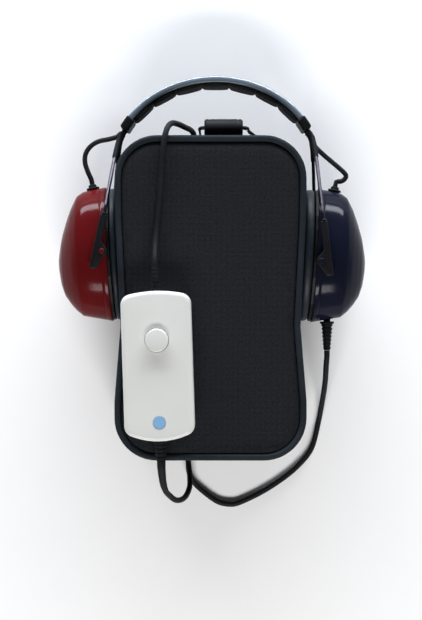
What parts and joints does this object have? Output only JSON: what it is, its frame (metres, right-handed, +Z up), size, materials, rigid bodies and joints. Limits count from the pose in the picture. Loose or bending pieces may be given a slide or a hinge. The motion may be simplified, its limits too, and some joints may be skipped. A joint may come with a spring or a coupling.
{
  "type": "audiometer",
  "caption": "Screening audiometer kit: white handset with one round response button on a zipped case, with a sprung headset of red and blue ear cups clamped round it, and its leads.",
  "frame": {"origin": "centre of the case's flat back face, which lies on the table", "axes": "+X across the case towards the blue cup, +Y along the case towards the headband, +Z up from the case's back to its face"},
  "size_m": [0.2614, 0.3736, 0.1241],
  "materials": {
    "woven_nylon": "woven, dull",
    "piping_vinyl": "satin",
    "black_plastic": "moulded, satin",
    "black_rubber": "satin",
    "bright_steel": "bright",
    "band_plastic": "glossy",
    "pad_foam": "soft foam",
    "white_plastic": "satin",
    "cup_red": "glossy",
    "cup_blue": "glossy",
    "cushion_leather": "soft, satin",
    "disc_blue": "printed disc, plain",
    "board_green": "lacquered"
  },
  "bodies": {
    "kit": {"back_piping": "piping_vinyl", "blue_disc": "disc_blue", "blue_end_block": "black_plastic", "blue_link_cord": "black_rubber", "case_back_shell": "woven_nylon", "case_front_shell": "woven_nylon", "circuit_board": "board_green", "front_piping": "piping_vinyl", "front_spring_wire": "bright_steel", "handle_anchor_left": "woven_nylon", "handle_anchor_right": "woven_nylon", "handset_back_shell": "white_plastic", "handset_bottom_relief": "black_rubber", "handset_front_shell": "white_plastic", "handset_lead_boot": "black_rubber", "handset_screw_1": "bright_steel", "handset_screw_2": "bright_steel", "handset_top_relief": "black_rubber", "headband_cover": "band_plastic", "headband_pad": "pad_foam", "headset_lead_coil": "black_rubber", "headset_lead_inner": "black_rubber", "headset_lead_outer": "black_rubber", "hinge_strip": "woven_nylon", "rear_spring_wire": "bright_steel", "red_end_block": "black_plastic", "red_link_cord": "black_rubber", "tact_switch": "black_plastic", "usb_lead": "black_rubber", "usb_lead_coil": "black_rubber", "usb_lead_end": "black_rubber", "usb_plug_body": "black_rubber", "usb_plug_shell": "bright_steel", "zip_tape_back": "black_rubber", "zip_tape_front": "black_rubber"},
    "red_carriage": {"red_front_arm": "black_plastic", "red_rear_arm": "black_plastic"},
    "blue_carriage": {"blue_front_arm": "black_plastic", "blue_rear_arm": "black_plastic"},
    "red_cup": {"red_cup_shell": "cup_red", "red_cup_plate": "black_plastic", "red_ear_cushion": "cushion_leather", "red_driver": "bright_steel", "red_foam_liner": "pad_foam", "red_cable_grommet": "black_rubber"},
    "blue_cup": {"blue_cup_shell": "cup_blue", "blue_cup_plate": "black_plastic", "blue_ear_cushion": "cushion_leather", "blue_driver": "bright_steel", "blue_foam_liner": "pad_foam", "blue_cable_grommet": "black_rubber", "lead_strain_relief": "black_rubber"},
    "button": {"response_button": "white_plastic"},
    "handle": {"handle_strap": "woven_nylon", "handle_grip": "black_rubber"},
    "top_slider": {"top_zip_slider": "bright_steel"},
    "top_pull": {"top_zip_pull": "bright_steel"},
    "bottom_slider": {"bottom_zip_slider": "bright_steel"},
    "bottom_pull": {"bottom_zip_pull": "bright_steel"}
  },
  "joints": [
    {"name": "response_button_press", "type": "slide", "parent": "kit", "child": "button", "axis": [0, 0, -1], "range_m": [0, 0.0015], "stiffness_N_per_m": 800, "springref_m": -0.001},
    {"name": "red_cup_height", "type": "slide", "parent": "kit", "child": "red_carriage", "axis": [-0.2041, -0.9789, 0], "range_m": [0, 0.025], "deforming": ["red_link_cord", "red_ear_cushion"]},
    {"name": "blue_cup_height", "type": "slide", "parent": "kit", "child": "blue_carriage", "axis": [0.1128, -0.9936, 0], "range_m": [0, 0.025], "deforming": ["blue_link_cord", "headset_lead_outer", "blue_ear_cushion"]},
    {"name": "red_cup_tilt", "type": "hinge", "parent": "red_carriage", "child": "red_cup", "pos_m": [-0.08924, 0.03832, 0.048], "axis": [0, 0, 1], "range_deg": [-8, 4], "deforming": ["red_link_cord", "red_ear_cushion"]},
    {"name": "blue_cup_tilt", "type": "hinge", "parent": "blue_carriage", "child": "blue_cup", "pos_m": [0.09125, 0.03022, 0.048], "axis": [0, 0, 1], "range_deg": [-4, 8], "deforming": ["blue_link_cord", "headset_lead_outer", "blue_ear_cushion"]},
    {"name": "handle_swing", "type": "hinge", "parent": "kit", "child": "handle", "pos_m": [0.016, 0.1358, 0.06], "axis": [1, 0, 0], "range_deg": [-40, 40]},
    {"name": "top_zip_slide", "type": "slide", "parent": "kit", "child": "top_slider", "axis": [1, 0, 0], "range_m": [0, 0.042]},
    {"name": "top_pull_swing", "type": "hinge", "parent": "top_slider", "child": "top_pull", "pos_m": [-0.004, 0.139, 0.025], "axis": [1, 0, 0], "range_deg": [0, 150]},
    {"name": "bottom_zip_slide", "type": "slide", "parent": "kit", "child": "bottom_slider", "axis": [1, 0, 0], "range_m": [0, 0.045]},
    {"name": "bottom_pull_swing", "type": "hinge", "parent": "bottom_slider", "child": "bottom_pull", "pos_m": [-0.01, -0.139, 0.025], "axis": [-1, 0, 0], "range_deg": [0, 150]}
  ]
}
